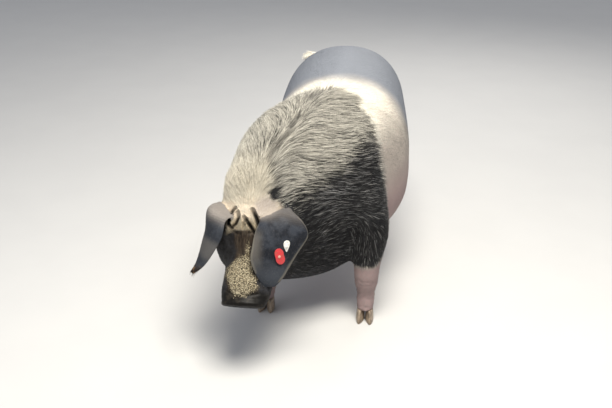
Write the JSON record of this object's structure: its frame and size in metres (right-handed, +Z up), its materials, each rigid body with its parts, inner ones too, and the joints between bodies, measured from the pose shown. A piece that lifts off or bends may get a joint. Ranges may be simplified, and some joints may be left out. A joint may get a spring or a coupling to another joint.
{
  "type": "domestic pig",
  "caption": "Life-size still model of a standing black and pale lop-eared sow, head lowered and turned a little to her right, with ear tags.",
  "frame": {"origin": "on the floor, under the middle of the sow's bounding box", "axes": "+Z up, -Y the way her trunk faces, +X her left side"},
  "size_m": [0.7694, 1.6173, 0.8823],
  "materials": {
    "pale_skin": "pale pink-white skin under thin bristles",
    "black_skin": "slate black skin under pale bristles",
    "ear_skin": "matte slate grey skin",
    "snout_skin": "moist bare skin with dried sandy mud",
    "horn": "satin horn",
    "eye": "wet gloss",
    "tag_red": "satin plastic",
    "tag_white": "satin plastic"
  },
  "bodies": {
    "root": {"claw_front_left_inner": "horn", "claw_front_left_outer": "horn", "claw_front_right_inner": "horn", "claw_front_right_outer": "horn", "claw_hind_left_inner": "horn", "claw_hind_left_outer": "horn", "claw_hind_right_inner": "horn", "claw_hind_right_outer": "horn", "dewclaw_front_left_inner": "horn", "dewclaw_front_left_outer": "horn", "dewclaw_front_right_inner": "horn", "dewclaw_front_right_outer": "horn", "dewclaw_hind_left_inner": "horn", "dewclaw_hind_left_outer": "horn", "dewclaw_hind_right_inner": "horn", "dewclaw_hind_right_outer": "horn", "ear_left": "ear_skin", "ear_right": "ear_skin", "eye_left": "eye", "eye_right": "eye", "head": "black_skin", "leg_front_left": "pale_skin", "leg_front_right": "pale_skin", "leg_hind_left": "pale_skin", "leg_hind_right": "pale_skin", "neck": "black_skin", "snout": "snout_skin", "tag_red": "tag_red", "tag_white": "tag_white", "tail": "pale_skin", "torso": "pale_skin"}
  },
  "joints": []
}
